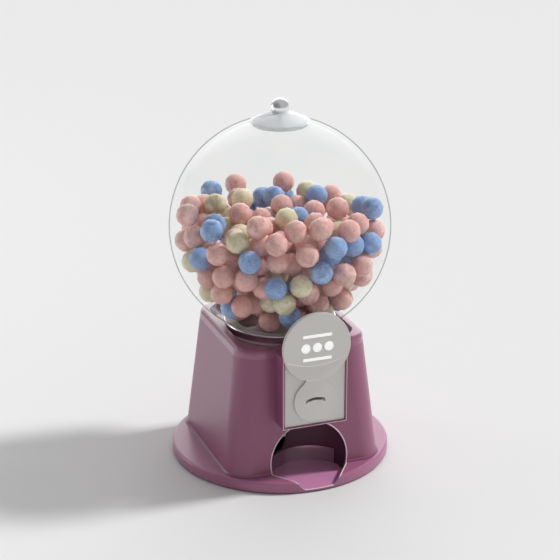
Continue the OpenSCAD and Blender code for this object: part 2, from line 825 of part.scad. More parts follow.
module globe_gasket() {
    color([0.12, 0.12, 0.13])
    difference() {
        translate([0, 0, guard_top_z]) cylinder(h = globe_cut_z - guard_top_z, r = gasket_out_r);
        translate([0, 0, guard_top_z - over])
            cylinder(h = globe_cut_z - guard_top_z + 2 * over, r = gasket_in_r);
    }
}

module neck_ring() {
    color([0.8, 0.8, 0.82])
    rotate_extrude() {
        translate([ring_r - ring_t, pan_top_z])
            square([ring_t, globe_cut_z + ring_lip - pan_top_z - ring_t / 2]);
        translate([ring_r - ring_t / 2, globe_cut_z + ring_lip - ring_t / 2]) circle(r = ring_t / 2);
    }
}

module globe() {
    color([0.9, 0.93, 0.94, 0.25])
    difference() {
        translate([0, 0, globe_z]) sphere(r = globe_r);
        translate([0, 0, globe_z]) sphere(r = globe_in_r);
        translate([-globe_r, -globe_r, globe_z - globe_r - over])
            cube([2 * globe_r, 2 * globe_r, globe_cut_z - globe_z + globe_r + over]);
        translate([0, 0, globe_z]) cylinder(h = globe_r + over, r = fill_r);
    }
}

module spindle_bracket() {
    color([0.62, 0.62, 0.62])
    difference() {
        union() {
            lying(bearing_r, bearing_y + bearing_t, bearing_y, 0, key_z);
            translate([-bearing_r, -bearing_y - bearing_t, key_z])
                cube([2 * bearing_r, bearing_t, floor_low_z - key_z]);
        }
        lying(spindle_r + spindle_gap, bearing_y + bearing_t + over, bearing_y - over, 0, key_z);
    }
}

// slanting bore of the drop chute, from its bend down into the tray
module slant(r) {
    hull() {
        translate([drop_x, drop_y, chute_bend_z]) cylinder(h = 1, r = r, $fn = hull_fn);
        translate([-chute_out_x, -chute_out_y, mouth_z]) cylinder(h = eps, r = r, $fn = hull_fn);
    }
}

module drop_chute() {
    outer = chute_r + chute_t;
    color([0.62, 0.62, 0.62])
    difference() {
        hull() {
            translate([drop_x, drop_y, chute_bend_z])
                cylinder(h = floor_low_z - chute_bend_z, r = outer, $fn = hull_fn);
            translate([-chute_out_x, -chute_out_y, mouth_z]) cylinder(h = 1, r = outer, $fn = hull_fn);
        }
        hull() translate([drop_x, drop_y, chute_bend_z])
            cylinder(h = floor_low_z - chute_bend_z + over, r = chute_r, $fn = hull_fn);
        slant(chute_r);
        niche(liner_t, boss_y);
        layer(0, mouth_z + chute_end);
    }
}

module niche_liner() {
    color([0.25, 0.12, 0.18])
    difference() {
        intersection() {
            niche(liner_t, boss_y);
            tower_hollow(0);
        }
        niche(0, boss_y + over);
        slant(chute_r);
    }
}

module tray_floor() {
    color([0.72, 0.47, 0.63])
    intersection() {
        union() {
            niche(-tray_gap, spout_y);
            spout(tray_gap);
        }
        layer(plate_top_z, plate_top_z + tray_t);
        cylinder(h = flange_top_z, r = flange_r - flange_edge_r / 2);
    }
}

module tray_band() {
    color([0.6, 0.6, 0.58])
    translate([0, -drum_y, band_low_z]) rotate([0, 0, 90 - band_half_angle])
        rotate_extrude(angle = 2 * band_half_angle)
            translate([band_r - band_t, 0]) square([band_t, band_h]);
}

module coin_slide() {
    color([0.62, 0.62, 0.62])
    translate([0, slide_w - slide_front_y, 0])
    rotate([90, 0, 0]) linear_extrude(height = slide_w)
        polygon([[-slide_start_x, slide_high_z], [-slide_start_x, slide_high_z + slide_t],
            [slide_end_x, slide_low_z + slide_t], [slide_end_x, slide_low_z]]);
}

module coin_box() {
    wall = coin_box_t;
    color([0.35, 0.35, 0.36])
    translate([coin_box_x, -coin_box_y, plate_top_z]) difference() {
        cube([coin_box_w, coin_box_l, coin_box_h]);
        translate([wall, wall, wall]) cube([coin_box_w - 2 * wall, coin_box_l - 2 * wall, coin_box_h]);
    }
}

// outline of the key: a disc with a waisted neck rising from it
module key_outline() {
    off_x = key_neck_hw + key_fillet_r;
    off_z = sqrt((key_r + key_fillet_r) * (key_r + key_fillet_r) - off_x * off_x);
    side = off_x * key_r / (key_r + key_fillet_r);
    circle(r = key_r);
    difference() {
        translate([-side, 0]) square([2 * side, key_neck_len]);
        for (sx = [-1, 1]) translate([sx * off_x, off_z]) circle(r = key_fillet_r);
    }
}

// crescent of the coin slot
module slot_outline() {
    intersection() {
        translate([0, slot_rise - slot_arc_r]) difference() {
            circle(r = slot_arc_r);
            circle(r = slot_arc_r - slot_w);
        }
        translate([-slot_hl, -slot_rise]) square([2 * slot_hl, 3 * slot_rise]);
    }
}

// raises a flat outline, drawn in X and Z about the key's axis, from one depth to another
module on_key(y_front, y_back) {
    translate([0, -y_back, key_z]) rotate([90, 0, 0]) linear_extrude(height = y_front - y_back) children();
}

module turn_key() {
    color([0.65, 0.64, 0.62])
    difference() {
        on_key(key_front_y, key_back_y) key_outline();
        on_key(key_front_y + over, key_back_y - over) slot_outline();
    }
}

module coin_carrier() {
    pocket_hw = slot_hl + coin_gap;
    pocket_h = spindle_r + slot_w + 2 * coin_gap;
    color([0.45, 0.45, 0.46])
    difference() {
        lying(carrier_r, key_back_y, carrier_back_y, 0, key_z);
        translate([-pocket_hw, -key_back_y - over, key_z - coin_gap])
            cube([2 * pocket_hw, carrier_d - carrier_wall + over, pocket_h]);
        translate([-pocket_hw, -key_back_y - over, key_z + spindle_r + coin_gap])
            cube([2 * pocket_hw, carrier_d + 2 * over, slot_w]);
    }
}

module spindle() {
    color([0.75, 0.75, 0.77])
    lying(spindle_r, carrier_back_y, spindle_end_y, 0, key_z);
}

module spindle_collar() {
    front_y = bearing_y - collar_gap;
    color([0.7, 0.7, 0.72])
    difference() {
        lying(collar_r, front_y, front_y - collar_t, 0, key_z);
        lying(spindle_r, front_y + over, front_y - collar_t - over, 0, key_z);
    }
}

module pinion() {
    front_y = crown_pitch_r + pinion_hub_w / 2;
    back_y = crown_pitch_r - pinion_hub_w / 2;
    color([0.72, 0.6, 0.32])
    difference() {
        union() {
            lying(pinion_hub_r, front_y, back_y, 0, key_z);
            for (i = [0 : pinion_pegs - 1]) {
                translate([0, -crown_pitch_r, key_z]) rotate([0, i * peg_step, 0])
                    cylinder(h = pinion_tip_r, r = peg_r);
            }
        }
        lying(spindle_r, front_y + over, back_y - over, 0, key_z);
    }
}

module return_spring() {
    pitch = 2 * spring_wire_r + turn_gap;
    color([0.6, 0.6, 0.62])
    for (i = [0 : spring_turns - 1]) {
        translate([0, -bearing_y - bearing_t - spring_gap - i * pitch, key_z]) rotate([90, 0, 0])
            rotate_extrude() translate([spring_r - spring_wire_r, 0]) circle(r = spring_wire_r, $fn = 24);
    }
}

module pocket_wheel() {
    color([0.86, 0.85, 0.82])
    difference() {
        union() {
            translate([0, 0, wheel_low_z]) cylinder(h = wheel_t, r = wheel_r);
            translate([0, 0, crown_top_z]) cylinder(h = wheel_t, r = hub_r);
        }
        for (i = [0 : pocket_count - 1]) rotate([0, 0, drop_angle + i * pocket_step])
            translate([pocket_off, 0, wheel_low_z - over]) cylinder(h = wheel_t + 2 * over, r = pocket_r);
        translate([0, 0, crown_low_z]) cylinder(h = wheel_top_z - crown_low_z + over, r = bolt_r);
    }
}

module crown_gear() {
    color([0.72, 0.6, 0.32])
    difference() {
        union() {
            translate([0, 0, crown_low_z]) cylinder(h = crown_t, r = crown_r);
            for (i = [0 : crown_pins - 1]) rotate([0, 0, -90 + (i + 0.5) * pin_step])
                translate([crown_pitch_r, 0, crown_low_z - crown_pin_len])
                    cylinder(h = crown_pin_len + crown_t, r = peg_r);
        }
        translate([0, 0, crown_low_z - over]) cylinder(h = crown_t + 2 * over, r = bolt_r);
    }
}

module stirring_cone() {
    color([0.86, 0.85, 0.82])
    difference() {
        translate([0, 0, wheel_top_z]) cylinder(h = cone_h, r1 = cone_r, r2 = 2 * bolt_r);
        translate([0, 0, wheel_top_z - over]) cylinder(h = cone_h + 2 * over, r = bolt_r);
    }
}

module wheel_bolt() {
    head_z = crown_low_z - bolt_head_t;
    color([0.7, 0.7, 0.72])
    union() {
        translate([0, 0, head_z]) cylinder(h = wheel_top_z + cone_h - bolt_end_gap - head_z, r = bolt_r);
        translate([0, 0, head_z]) cylinder(h = bolt_head_t, r = 2 * bolt_r);
    }
}

module lid_cap() {
    color([0.82, 0.83, 0.84, 0.6])
    difference() {
        union() {
            translate([0, 0, lid_low_z]) cylinder(h = lid_rim_t, r = lid_r);
            translate([0, 0, lid_rim_z]) cylinder(h = dome_h, r1 = lid_r, r2 = crown_flat_r);
        }
        translate([0, 0, ball_z]) sphere(r = ball_r);
        translate([0, 0, lid_low_z - over]) cylinder(h = crown_flat_z - lid_low_z, r = stud_r);
    }
}

module lid_ball() {
    color([0.85, 0.85, 0.87])
    difference() {
        translate([0, 0, ball_z]) sphere(r = ball_r);
        translate([0, 0, ball_z - 2 * ball_r]) cylinder(h = 2 * ball_r, r = stud_r);
    }
}

module lid_stud() {
    color([0.7, 0.7, 0.72])
    translate([0, 0, stud_low_z]) cylinder(h = ball_z - stud_low_z, r = stud_r);
}

module lid_clamp() {
    color([0.8, 0.8, 0.8])
    difference() {
        translate([0, 0, lid_low_z - clamp_t]) cylinder(h = clamp_t, r = clamp_r);
        translate([0, 0, lid_low_z - clamp_t - over]) cylinder(h = clamp_t + 2 * over, r = stud_r);
    }
}

module lid_nut() {
    color([0.7, 0.7, 0.72])
    difference() {
        translate([0, 0, lid_low_z - clamp_t - nut_h])
            linear_extrude(height = nut_h) circle(r = nut_w / 2, $fn = 6);
        translate([0, 0, lid_low_z - clamp_t - nut_h - over]) cylinder(h = nut_h + 2 * over, r = stud_r);
    }
}

module lid_seal() {
    color([0.85, 0.86, 0.86])
    difference() {
        translate([0, 0, lid_low_z - seal_d]) cylinder(h = seal_d, r = seal_r);
        translate([0, 0, lid_low_z - seal_d - over]) cylinder(h = seal_d + 2 * over, r = clamp_r);
    }
}

module capsules_of(class) {
    pile = heap(0, []);
    for (i = [0 : capsule_count - 1]) if (colour_of(i) == class) {
        translate(pile[i]) sphere(r = capsule_r);
    }
}

module capsules_pink() {
    color([0.84, 0.59, 0.57]) capsules_of(0);
}

module capsules_blue() {
    color([0.47, 0.61, 0.82]) capsules_of(1);
}

module capsules_cream() {
    color([0.84, 0.8, 0.63]) capsules_of(2);
}

flange_ring();
tower_walls();
tower_crown();
front_boss();
screw_posts();
base_plate();
rubber_feet();
base_screws();
front_panel();
sign_bracket();
sign_disc();
sign_badge();
sign_motif();
sign_rivets();
hopper_pan();
drop_guard();
globe_gasket();
neck_ring();
globe();
spindle_bracket();
drop_chute();
niche_liner();
tray_floor();
tray_band();
coin_slide();
coin_box();
turn_key();
coin_carrier();
spindle();
spindle_collar();
pinion();
return_spring();
pocket_wheel();
crown_gear();
stirring_cone();
wheel_bolt();
lid_cap();
lid_ball();
lid_stud();
lid_clamp();
lid_nut();
lid_seal();
capsules_pink();
capsules_blue();
capsules_cream();
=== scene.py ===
import math
import random

import bmesh
import bpy
from mathutils import Euler, Matrix, Vector


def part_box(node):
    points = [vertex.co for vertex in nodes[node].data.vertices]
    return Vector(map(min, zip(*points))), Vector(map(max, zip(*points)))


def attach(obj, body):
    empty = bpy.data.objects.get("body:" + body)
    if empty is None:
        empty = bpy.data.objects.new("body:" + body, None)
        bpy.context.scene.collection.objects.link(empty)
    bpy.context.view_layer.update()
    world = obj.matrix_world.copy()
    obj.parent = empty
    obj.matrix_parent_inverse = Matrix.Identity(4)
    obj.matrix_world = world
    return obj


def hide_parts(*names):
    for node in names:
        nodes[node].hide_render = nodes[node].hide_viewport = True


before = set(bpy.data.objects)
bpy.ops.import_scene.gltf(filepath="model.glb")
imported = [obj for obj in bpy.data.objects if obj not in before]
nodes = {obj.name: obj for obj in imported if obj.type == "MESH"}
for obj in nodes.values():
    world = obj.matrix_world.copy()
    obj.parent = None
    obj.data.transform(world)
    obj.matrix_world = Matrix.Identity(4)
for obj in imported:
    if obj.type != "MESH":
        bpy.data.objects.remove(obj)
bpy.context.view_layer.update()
MM = 0.001



def low_mm(node):
    """Least X, Y and Z of a node, in millimetres."""
    return [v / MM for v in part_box(node)[0]]


def high_mm(node):
    """Greatest X, Y and Z of a node, in millimetres."""
    return [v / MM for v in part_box(node)[1]]


# ---------------------------------------------------------------- sizes, in millimetres

# wall of the globe, gap round the lid's seal, wall of the mouth's lining, and one capsule
GLOBE_WALL = 3.5
SEAL_GAP = 0.4
LINER_WALL = 1.6
CAPSULE_R = 12.5
# rounds of the flange's edge and of the tower's corners, and the fillet between the two
FLANGE_EDGE_R = 3.0
CORNER_R = 27.0
FILLET_R = 2.2
# cone of the spout, from its wide end at the tower's front to its end beyond the flange
SPOUT_OUT = 2.0
SPOUT_LEN = 33.0
SPOUT_R = 22.0
# pale bead on the mouth's edge (a painted highlight), back band of the tray, and lower arc of the sign's raised part
BEAD_R = 0.7
BAND_R = 45.3
SIGN_ARC_R = 80.0

GLOBE_R = high_mm("globe")[0]
GLOBE_LOW_Z = low_mm("globe")[2]
FILL_R = high_mm("lid_seal")[0] + SEAL_GAP
GLOBE_Z = high_mm("globe")[2] - math.sqrt(GLOBE_R ** 2 - FILL_R ** 2)
LID_R = high_mm("lid_cap")[0]
LID_LOW_Z = low_mm("lid_cap")[2]
DOME_FLAT_Z = high_mm("lid_cap")[2]
BALL_R = high_mm("lid_ball")[0]
BALL_Z = high_mm("lid_ball")[2] - BALL_R
DOME_FLAT_R = math.sqrt(BALL_R ** 2 - (BALL_Z - DOME_FLAT_Z) ** 2)
STUD_R = high_mm("lid_stud")[0]
MOUTH_R = high_mm("niche_liner")[0] - LINER_WALL
MOUTH_Z = high_mm("niche_liner")[2] - LINER_WALL - MOUTH_R
FLANGE_R = high_mm("flange_ring")[0]
FLANGE_TOP_Z = high_mm("flange_ring")[2]
FLOOR_Z = low_mm("tray_floor")[2]
TOWER_HW, TOWER_HD = high_mm("tower_walls")[:2]
CROWN_HD = high_mm("tower_crown")[1]
CROWN_LOW_Z = low_mm("tower_crown")[2]
SPOUT_Y = TOWER_HD + SPOUT_OUT
SIGN_R = high_mm("sign_disc")[0]
SIGN_Z = high_mm("sign_disc")[2] - SIGN_R
SIGN_FRONT_Y = low_mm("sign_disc")[1]
BADGE_FRONT_Y = low_mm("sign_badge")[1]
SIGN_ARC_Z = low_mm("sign_badge")[2]
SIGN_ARC_HALF = math.degrees(math.asin(high_mm("sign_badge")[0] / SIGN_ARC_R)) * 0.9


# ---------------------------------------------------------------- small helpers

def linear(code):
    """Linear colour, with alpha, of an sRGB hex value."""
    parts = [int(code[i:i + 2], 16) / 255 for i in (1, 3, 5)]
    return tuple(c / 12.92 if c <= 0.04045 else ((c + 0.055) / 1.055) ** 2.4 for c in parts) + (1.0,)


def add(tree, kind, inputs=None, **settings):
    """Adds one node with its settings, and values or links for its sockets."""
    node = tree.nodes.new(kind)
    for name, value in settings.items():
        setattr(node, name, value)
    for socket, value in (inputs or {}).items():
        if isinstance(value, bpy.types.NodeSocket):
            tree.links.new(value, node.inputs[socket])
        else:
            node.inputs[socket].default_value = value
    return node


def blank(name):
    """A material with an empty tree and an output."""
    mat = bpy.data.materials.new(name)
    mat.use_nodes = True
    mat.node_tree.nodes.clear()
    return mat, mat.node_tree, add(mat.node_tree, "ShaderNodeOutputMaterial")


def per_mm(size_mm):
    """Texture scale whose features are about this many millimetres across."""
    return 1000.0 / size_mm


def mottled(name, dark, light, patch_mm, grain_mm, rough, rough_spread, bump, edge_mm=0.0, metal=0.0, coat=0.0,
            coat_rough=0.2, glow=0.0):
    """A finished surface: two close tones in patches, a fine grain in the gloss and in the relief,
    and edges that catch the light as a small round would."""
    mat, tree, out = blank(name)
    place = add(tree, "ShaderNodeTexCoord").outputs["Object"]
    patches = add(tree, "ShaderNodeTexNoise", {"Vector": place, "Scale": per_mm(patch_mm), "Detail": 4.0})
    tone = add(tree, "ShaderNodeMix", {0: patches.outputs["Fac"], 6: linear(dark), 7: linear(light)},
               data_type="RGBA")
    grain = add(tree, "ShaderNodeTexNoise", {"Vector": place, "Scale": per_mm(grain_mm), "Detail": 3.0})
    gloss = add(tree, "ShaderNodeMapRange",
                {"Value": grain.outputs["Fac"], "To Min": rough - rough_spread, "To Max": rough + rough_spread})
    relief = {"Height": grain.outputs["Fac"], "Strength": bump, "Distance": 0.0002}
    if edge_mm:
        relief["Normal"] = add(tree, "ShaderNodeBevel", {"Radius": edge_mm * MM}, samples=6).outputs["Normal"]
    bump_node = add(tree, "ShaderNodeBump", relief)
    skin = add(tree, "ShaderNodeBsdfPrincipled",
               {"Base Color": tone.outputs[2], "Roughness": gloss.outputs["Result"],
                "Normal": bump_node.outputs["Normal"], "Metallic": metal, "Coat Weight": coat,
                "Coat Roughness": coat_rough, "Emission Color": linear("#FFFFFF"), "Emission Strength": glow})
    tree.links.new(skin.outputs["BSDF"], out.inputs["Surface"])
    return mat


def finish(obj, mat, body, replaces=()):
    """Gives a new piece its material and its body."""
    obj.data.materials.clear()
    obj.data.materials.append(mat)
    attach(obj, body)
    if replaces:
        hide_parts(*replaces)
    return obj


def to_object(bm, name):
    """Turns a bmesh, built in millimetres, into an object in metres with its faces pointing outwards."""
    bmesh.ops.remove_doubles(bm, verts=bm.verts, dist=0.001)
    bmesh.ops.recalc_face_normals(bm, faces=bm.faces)
    bmesh.ops.scale(bm, vec=(MM, MM, MM), verts=bm.verts)
    mesh = bpy.data.meshes.new(name)
    bm.to_mesh(mesh)
    bm.free()
    mesh.shade_smooth()
    mesh.set_sharp_from_angle(angle=math.radians(40))
    obj = bpy.data.objects.new(name, mesh)
    bpy.context.collection.objects.link(obj)
    return obj


def turned(name, profile, steps=128, closed=True):
    """A piece turned about the upright axis from a list of (radius, height)."""
    bm = bmesh.new()
    verts = [bm.verts.new((r, 0.0, z)) for r, z in profile]
    edges = [bm.edges.new(pair) for pair in zip(verts, verts[1:])]
    if closed:
        edges.append(bm.edges.new((verts[-1], verts[0])))
    bmesh.ops.spin(bm, geom=verts + edges, cent=(0, 0, 0), axis=(0, 0, 1), angle=math.tau,
                   steps=steps, use_merge=True)
    return to_object(bm, name)


def arc(cx, cz, r, start, end, count):
    """Points of an arc, in degrees from the horizontal."""
    turns = [math.radians(start + (end - start) * i / count) for i in range(count + 1)]
    return [(cx + r * math.cos(t), cz + r * math.sin(t)) for t in turns]


def wire(name, points, radius_mm, cyclic=False):
    """A round bead along a line of points in millimetres."""
    curve = bpy.data.curves.new(name, "CURVE")
    curve.dimensions = "3D"
    curve.bevel_depth = radius_mm * MM
    curve.bevel_resolution = 3
    spline = curve.splines.new("POLY")
    spline.points.add(len(points) - 1)
    for spot, p in zip(spline.points, points):
        spot.co = (p[0] * MM, p[1] * MM, p[2] * MM, 1.0)
    spline.use_cyclic_u = cyclic
    obj = bpy.data.objects.new(name, curve)
    bpy.context.collection.objects.link(obj)
    return obj


# ---------------------------------------------------------------- materials

# ABS, injection moulded with a satin grain: broad soft highlights and no sharp reflections
body_abs = mottled("abs_moulded_satin_mauve", "#8D4C6C", "#925171", 60, 1.4, 0.4, 0.03, 0.06, edge_mm=1.4,
                   coat=0.45, coat_rough=0.22)
# the same ABS a step paler as painted light, set so that the flange reads lighter than the walls under this light
flange_abs_painted_light = mottled("abs_moulded_satin_mauve_painted_light", "#A26183", "#A76688", 60, 1.4, 0.4, 0.03, 0.06, edge_mm=1.4,
                     coat=0.45, coat_rough=0.22)
# the same ABS with more gloss, set so that the tower's upper edge picks up the back light, its colour a touch
# lighter than the walls as painted light
crown_abs_painted_light = mottled("abs_moulded_glossy_mauve_painted_light", "#8E4F6F", "#935474", 60, 1.4, 0.34, 0.03, 0.05, edge_mm=1.4,
                    coat=1.0, coat_rough=0.16)
# the same ABS on the inside of the mouth, its colour darkened as painted shade where little light gets in
liner_abs_painted_shade = mottled("abs_moulded_mauve_painted_shade", "#4E2639", "#562B40", 40, 1.4, 0.5, 0.04, 0.06)
# polypropylene sheet in the tray: brighter, slightly waxy
tray_pp = mottled("polypropylene_sheet_orchid", "#CC86B2", "#D28EB8", 30, 1.2, 0.38, 0.03, 0.05)
# edge of the moulding: pale ABS as a painted highlight along the edges of the mouth and of the boss
edge_abs_painted_highlight = mottled("abs_edge_painted_highlight", "#E2CBD8", "#EAD6E1", 12, 0.8, 0.35, 0.04, 0.05)
# sheet steel, sprayed with satin grey lacquer: even, with a faint orange peel
grey_lacquer = mottled("steel_satin_grey_lacquer", "#D8D5D1", "#DCD9D5", 40, 1.0, 0.44, 0.03, 0.05, edge_mm=0.7)
# the same lacquer on a rolled edge, made paler as a painted highlight where the edge catches the light
lacquer_painted_highlight = mottled("steel_lacquer_painted_highlight", "#E8E6E3", "#EEECE9", 12, 0.8, 0.4, 0.03, 0.05)
# screen print: thick matt white ink, lifted by a little light of its own so that it reads as full white
white_ink = mottled("screen_print_white", "#FAFAFA", "#FFFFFF", 10, 0.6, 0.6, 0.04, 0.08, glow=0.3)
# moulded nylon of the mechanism: off-white and dull
nylon = mottled("nylon_moulded_natural", "#E2E0DA", "#EAE8E2", 20, 1.0, 0.5, 0.05, 0.08, edge_mm=0.4)
# dark polystyrene of the hidden plate and box
dark_ps = mottled("polystyrene_moulded_black", "#262628", "#2C2C2E", 25, 1.0, 0.55, 0.05, 0.1, edge_mm=0.4)
# nitrile rubber: matt black with a powdery bloom
rubber = mottled("rubber_pressed_black", "#161616", "#1E1E1E", 12, 0.8, 0.75, 0.06, 0.15)
# silicone seal: milky and soft
silicone = mottled("silicone_moulded_milky", "#E4E7E7", "#ECEFEF", 12, 0.8, 0.5, 0.05, 0.08)
# zinc-plated steel of the screws and bolts: bluish, slightly clouded
zinc = mottled("steel_zinc_plated", "#B4B6BA", "#C0C2C6", 6, 0.6, 0.34, 0.06, 0.1, edge_mm=0.2, metal=1.0)
# pressed bare steel of the brackets: cool grey with a rolled grain
steel = mottled("steel_cold_rolled_bare", "#8F9092", "#9C9D9F", 15, 0.8, 0.38, 0.06, 0.1, edge_mm=0.3, metal=1.0)
# machined brass of the gears: warm and bright
brass = mottled("brass_machined", "#B9964B", "#C7A458", 8, 0.6, 0.3, 0.05, 0.1, edge_mm=0.2, metal=1.0)


def chrome_plate():
    """Satin chrome plate: a soft mirror that blurs what it reflects."""
    mat, tree, out = blank("chrome_plate_satin")
    place = add(tree, "ShaderNodeTexCoord").outputs["Object"]
    cloud = add(tree, "ShaderNodeTexNoise", {"Vector": place, "Scale": per_mm(9), "Detail": 3.0})
    gloss = add(tree, "ShaderNodeMapRange", {"Value": cloud.outputs["Fac"], "To Min": 0.14, "To Max": 0.24})
    skin = add(tree, "ShaderNodeBsdfPrincipled",
               {"Base Color": linear("#F4F5F7"), "Metallic": 1.0, "Roughness": gloss.outputs["Result"]})
    tree.links.new(skin.outputs["BSDF"], out.inputs["Surface"])
    return mat


def brushed_strip():
    """Stainless strip brushed along its length: fine level lines that smear the light upwards."""
    mat, tree, out = blank("stainless_strip_brushed")
    place = add(tree, "ShaderNodeTexCoord").outputs["Object"]
    stretch = add(tree, "ShaderNodeMapping", {"Vector": place, "Scale": (12.0, 12.0, per_mm(0.7))})
    lines = add(tree, "ShaderNodeTexNoise", {"Vector": stretch.outputs["Vector"], "Scale": 1.0, "Detail": 3.0})
    tone = add(tree, "ShaderNodeMix", {0: lines.outputs["Fac"], 6: linear("#C2BFBB"), 7: linear("#D6D3CF")},
               data_type="RGBA")
    gloss = add(tree, "ShaderNodeMapRange", {"Value": lines.outputs["Fac"], "To Min": 0.08, "To Max": 0.16})
    bump = add(tree, "ShaderNodeBump", {"Height": lines.outputs["Fac"], "Strength": 0.12, "Distance": 0.0002})
    skin = add(tree, "ShaderNodeBsdfPrincipled",
               {"Base Color": tone.outputs[2], "Metallic": 1.0, "Roughness": gloss.outputs["Result"],
                "Normal": bump.outputs["Normal"]})
    tree.links.new(skin.outputs["BSDF"], out.inputs["Surface"])
    return mat


def clear_acrylic():
    """Blown acrylic: clear face on, with a pale veil and one thin dark line where the outer skin turns away."""
    mat, tree, out = blank("acrylic_blown_clear")
    slope = add(tree, "ShaderNodeLayerWeight", {"Blend": 0.5})
    place = add(tree, "ShaderNodeTexCoord").outputs["Object"]
    outward = add(tree, "ShaderNodeVectorMath", {0: place, 1: (0.0, 0.0, GLOBE_Z * MM)}, operation="SUBTRACT")
    depth = add(tree, "ShaderNodeVectorMath", {0: outward.outputs["Vector"]}, operation="LENGTH")
    skin = add(tree, "ShaderNodeMapRange", {"Value": depth.outputs["Value"], "From Min": (GLOBE_R - GLOBE_WALL) * MM,
                                            "From Max": (GLOBE_R - 1.0) * MM})
    turn = add(tree, "ShaderNodeMapRange", {"Value": slope.outputs["Facing"], "From Min": 0.83, "From Max": 0.93})
    line = add(tree, "ShaderNodeMath", {0: turn.outputs["Result"], 1: skin.outputs["Result"]}, operation="MULTIPLY")
    tint = add(tree, "ShaderNodeMix", {0: line.outputs[0], 6: (0.992, 0.995, 0.993, 1.0),
                                       7: (0.4, 0.42, 0.41, 1.0)}, data_type="RGBA")
    through = add(tree, "ShaderNodeBsdfTransparent", {"Color": tint.outputs[2]})
    gloss = add(tree, "ShaderNodeBsdfGlossy", {"Color": (1.0, 1.0, 1.0, 1.0), "Roughness": 0.06})
    steep = add(tree, "ShaderNodeMath", {0: slope.outputs["Facing"], 1: 7.0}, operation="POWER")
    share = add(tree, "ShaderNodeMapRange", {"Value": steep.outputs[0], "To Min": 0.014, "To Max": 0.4})
    mix = add(tree, "ShaderNodeMixShader",
              {0: share.outputs["Result"], 1: through.outputs[0], 2: gloss.outputs[0]})
    tree.links.new(mix.outputs[0], out.inputs["Surface"])
    return mat


def smoky_acrylic():
    """Moulded acrylic lid: the same clear plastic in a thick lens, milky with moulding haze."""
    mat, tree, out = blank("acrylic_moulded_hazy")
    place = add(tree, "ShaderNodeTexCoord").outputs["Object"]
    swirl = add(tree, "ShaderNodeTexNoise", {"Vector": place, "Scale": per_mm(18), "Detail": 2.0})
    gloss_value = add(tree, "ShaderNodeMapRange", {"Value": swirl.outputs["Fac"], "To Min": 0.08, "To Max": 0.18})
    edge = add(tree, "ShaderNodeLayerWeight", {"Blend": 0.5})
    rim = add(tree, "ShaderNodeMapRange", {"Value": edge.outputs["Facing"], "From Min": 0.8, "From Max": 1.0})
    tint = add(tree, "ShaderNodeMix", {0: rim.outputs["Result"], 6: (0.95, 0.955, 0.96, 1.0),
                                       7: (0.55, 0.56, 0.57, 1.0)}, data_type="RGBA")
    through = add(tree, "ShaderNodeBsdfTransparent", {"Color": tint.outputs[2]})
    skin = add(tree, "ShaderNodeBsdfPrincipled",
               {"Base Color": linear("#F8FBFE"), "Roughness": gloss_value.outputs["Result"]})
    share = add(tree, "ShaderNodeMapRange", {"Value": edge.outputs["Facing"], "To Min": 0.5, "To Max": 0.72})
    mix = add(tree, "ShaderNodeMixShader",
              {0: share.outputs["Result"], 1: through.outputs[0], 2: skin.outputs[0]})
    tree.links.new(mix.outputs[0], out.inputs["Surface"])
    return mat


def capsule_skin(name, dark, mid, light):
    """Matt candy-coated shell: cloudy, a little streaked, each capsule a shade of its own."""
    mat, tree, out = blank(name)
    place = add(tree, "ShaderNodeTexCoord").outputs["Object"]
    own = add(tree, "ShaderNodeAttribute", attribute_name="shade")
    cloud = add(tree, "ShaderNodeTexNoise", {"Vector": place, "Scale": per_mm(11), "Detail": 5.0,
                                             "Roughness": 0.62, "Distortion": 0.6})
    band = add(tree, "ShaderNodeMapRange", {"Value": cloud.outputs["Fac"], "From Min": 0.2, "From Max": 0.62})
    tone = add(tree, "ShaderNodeMix", {0: band.outputs["Result"], 6: linear(dark), 7: linear(light)},
               data_type="RGBA")
    own_tone = add(tree, "ShaderNodeMix", {0: own.outputs["Fac"], 6: linear(mid), 7: tone.outputs[2]},
                   data_type="RGBA")
    specks = add(tree, "ShaderNodeTexNoise", {"Vector": place, "Scale": per_mm(2.4), "Detail": 2.0})
    speck = add(tree, "ShaderNodeMapRange", {"Value": specks.outputs["Fac"], "From Min": 0.6, "From Max": 0.7,
                                             "To Max": 0.55})
    speckled = add(tree, "ShaderNodeMix", {0: speck.outputs["Result"], 6: own_tone.outputs[2], 7: linear(dark)},
                   data_type="RGBA")
    grain = add(tree, "ShaderNodeTexNoise", {"Vector": place, "Scale": per_mm(1.6), "Detail": 3.0})
    gloss = add(tree, "ShaderNodeMapRange", {"Value": grain.outputs["Fac"], "To Min": 0.4, "To Max": 0.52})
    middle = add(tree, "ShaderNodeAttribute", attribute_name="middle")
    outward = add(tree, "ShaderNodeVectorMath", {0: place, 1: middle.outputs["Vector"]}, operation="SUBTRACT")
    round_normal = add(tree, "ShaderNodeVectorMath", {0: outward.outputs["Vector"]}, operation="NORMALIZE")
    bump = add(tree, "ShaderNodeBump", {"Height": grain.outputs["Fac"], "Strength": 0.12, "Distance": 0.0003,
                                        "Normal": round_normal.outputs["Vector"]})
    skin = add(tree, "ShaderNodeBsdfPrincipled",
               {"Base Color": speckled.outputs[2], "Roughness": gloss.outputs["Result"],
                "Normal": bump.outputs["Normal"], "Coat Weight": 0.25, "Coat Roughness": 0.3})
    tree.links.new(skin.outputs["BSDF"], out.inputs["Surface"])
    return mat


chrome = chrome_plate()
strip = brushed_strip()
acrylic = clear_acrylic()
smoky = smoky_acrylic()
pink_shell = capsule_skin("candy_shell_pink", "#B9736D", "#EAB1AA", "#F8CDC5")
blue_shell = capsule_skin("candy_shell_blue", "#4A6BA0", "#86A6D8", "#A6C3EE")
cream_shell = capsule_skin("candy_shell_cream", "#AE9F70", "#E6DBB6", "#F6EED3")

